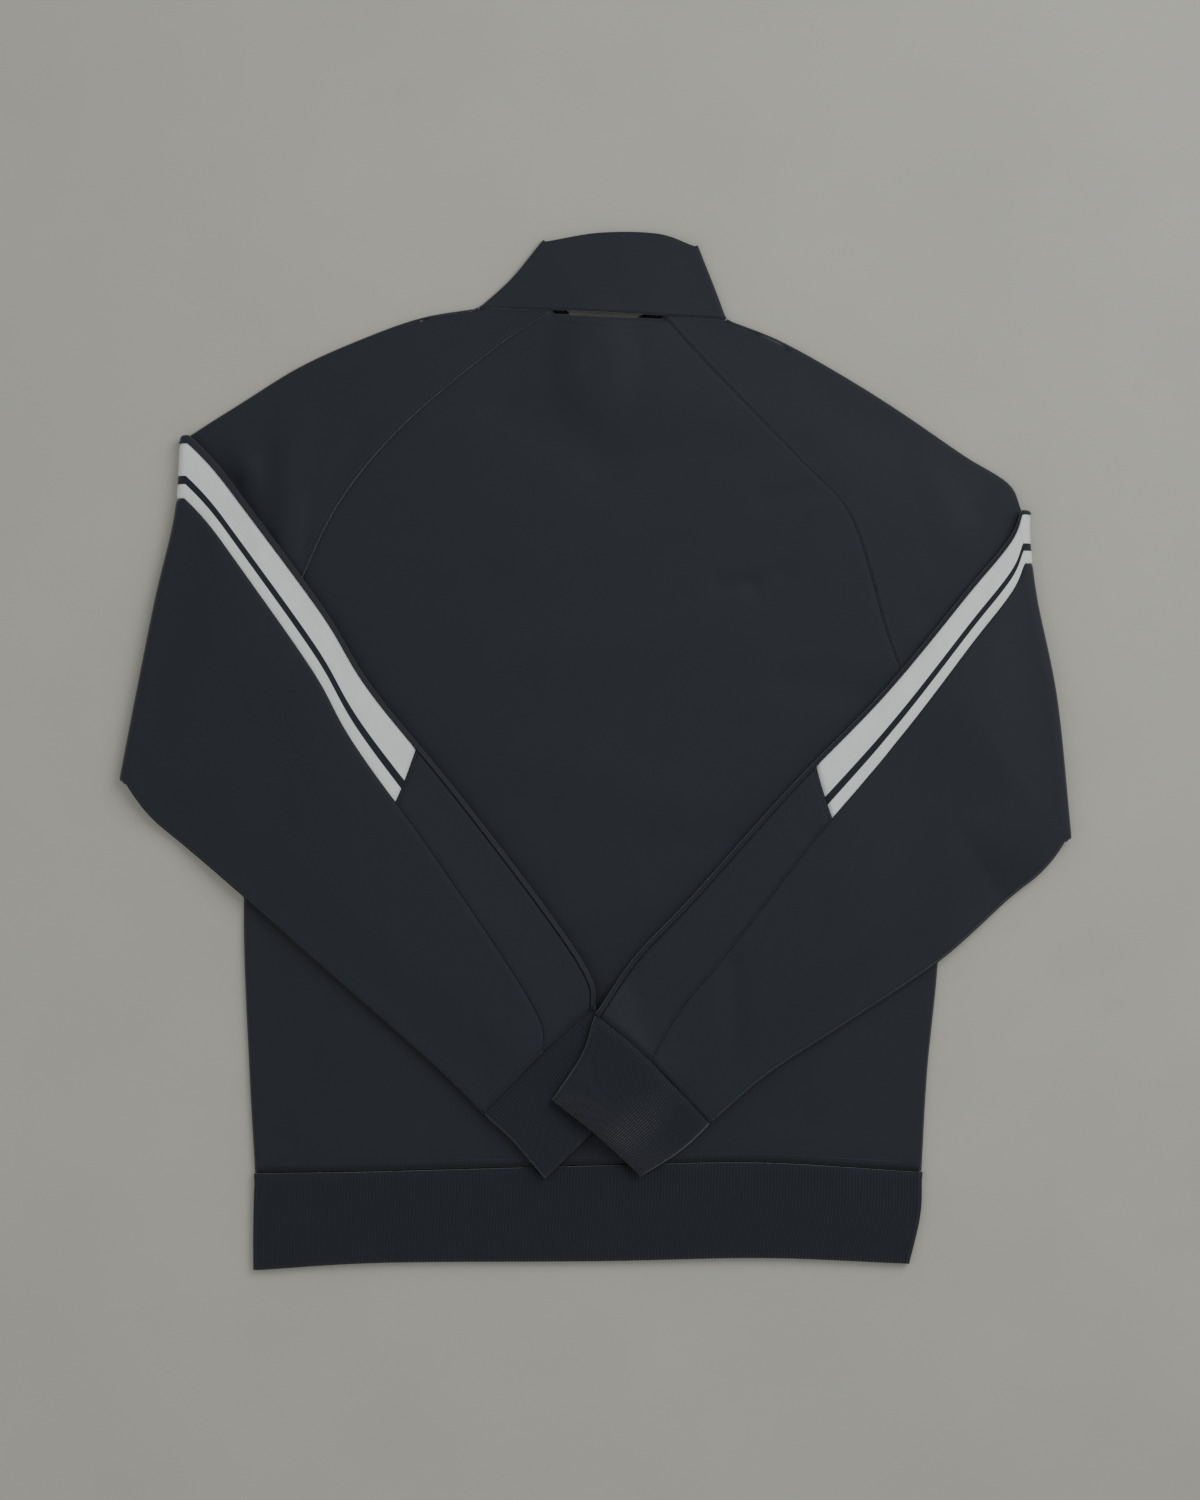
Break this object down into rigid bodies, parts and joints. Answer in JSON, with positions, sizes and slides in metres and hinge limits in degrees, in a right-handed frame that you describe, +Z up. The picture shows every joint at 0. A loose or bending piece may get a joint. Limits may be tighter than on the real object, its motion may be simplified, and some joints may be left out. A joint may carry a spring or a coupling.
{
  "type": "track jacket",
  "caption": "Raglan track jacket with stand collar, taped sleeves and rib trim, lying face down with its sleeves folded over the back.",
  "frame": {"origin": "centre of the jacket's bounding box on the surface it lies on", "axes": "+X towards the wearer's right sleeve side as seen from above, +Y from hem to collar, +Z up from the surface"},
  "size_m": [0.6676, 0.7282, 0.0234],
  "materials": {
    "knit": "smooth double knit",
    "rib": "1x1 rib knit",
    "tape": "knitted tape with a navy line",
    "zip": "moulded teeth",
    "slider": "navy enamel"
  },
  "bodies": {
    "root": {"back": "knit", "front_left": "knit", "front_right": "knit", "sleeve_back_left": "knit", "sleeve_back_right": "knit", "sleeve_front_left": "knit", "sleeve_front_right": "knit", "overarm_strip_left": "knit", "overarm_strip_right": "knit", "shoulder_tape_left": "tape", "shoulder_tape_right": "tape", "collar": "knit", "cuff_left": "rib", "cuff_right": "rib", "hem_band": "rib", "zip_tape_left": "knit", "zip_tape_right": "knit", "zip_teeth": "zip", "zip_slider": "slider"}
  },
  "joints": []
}
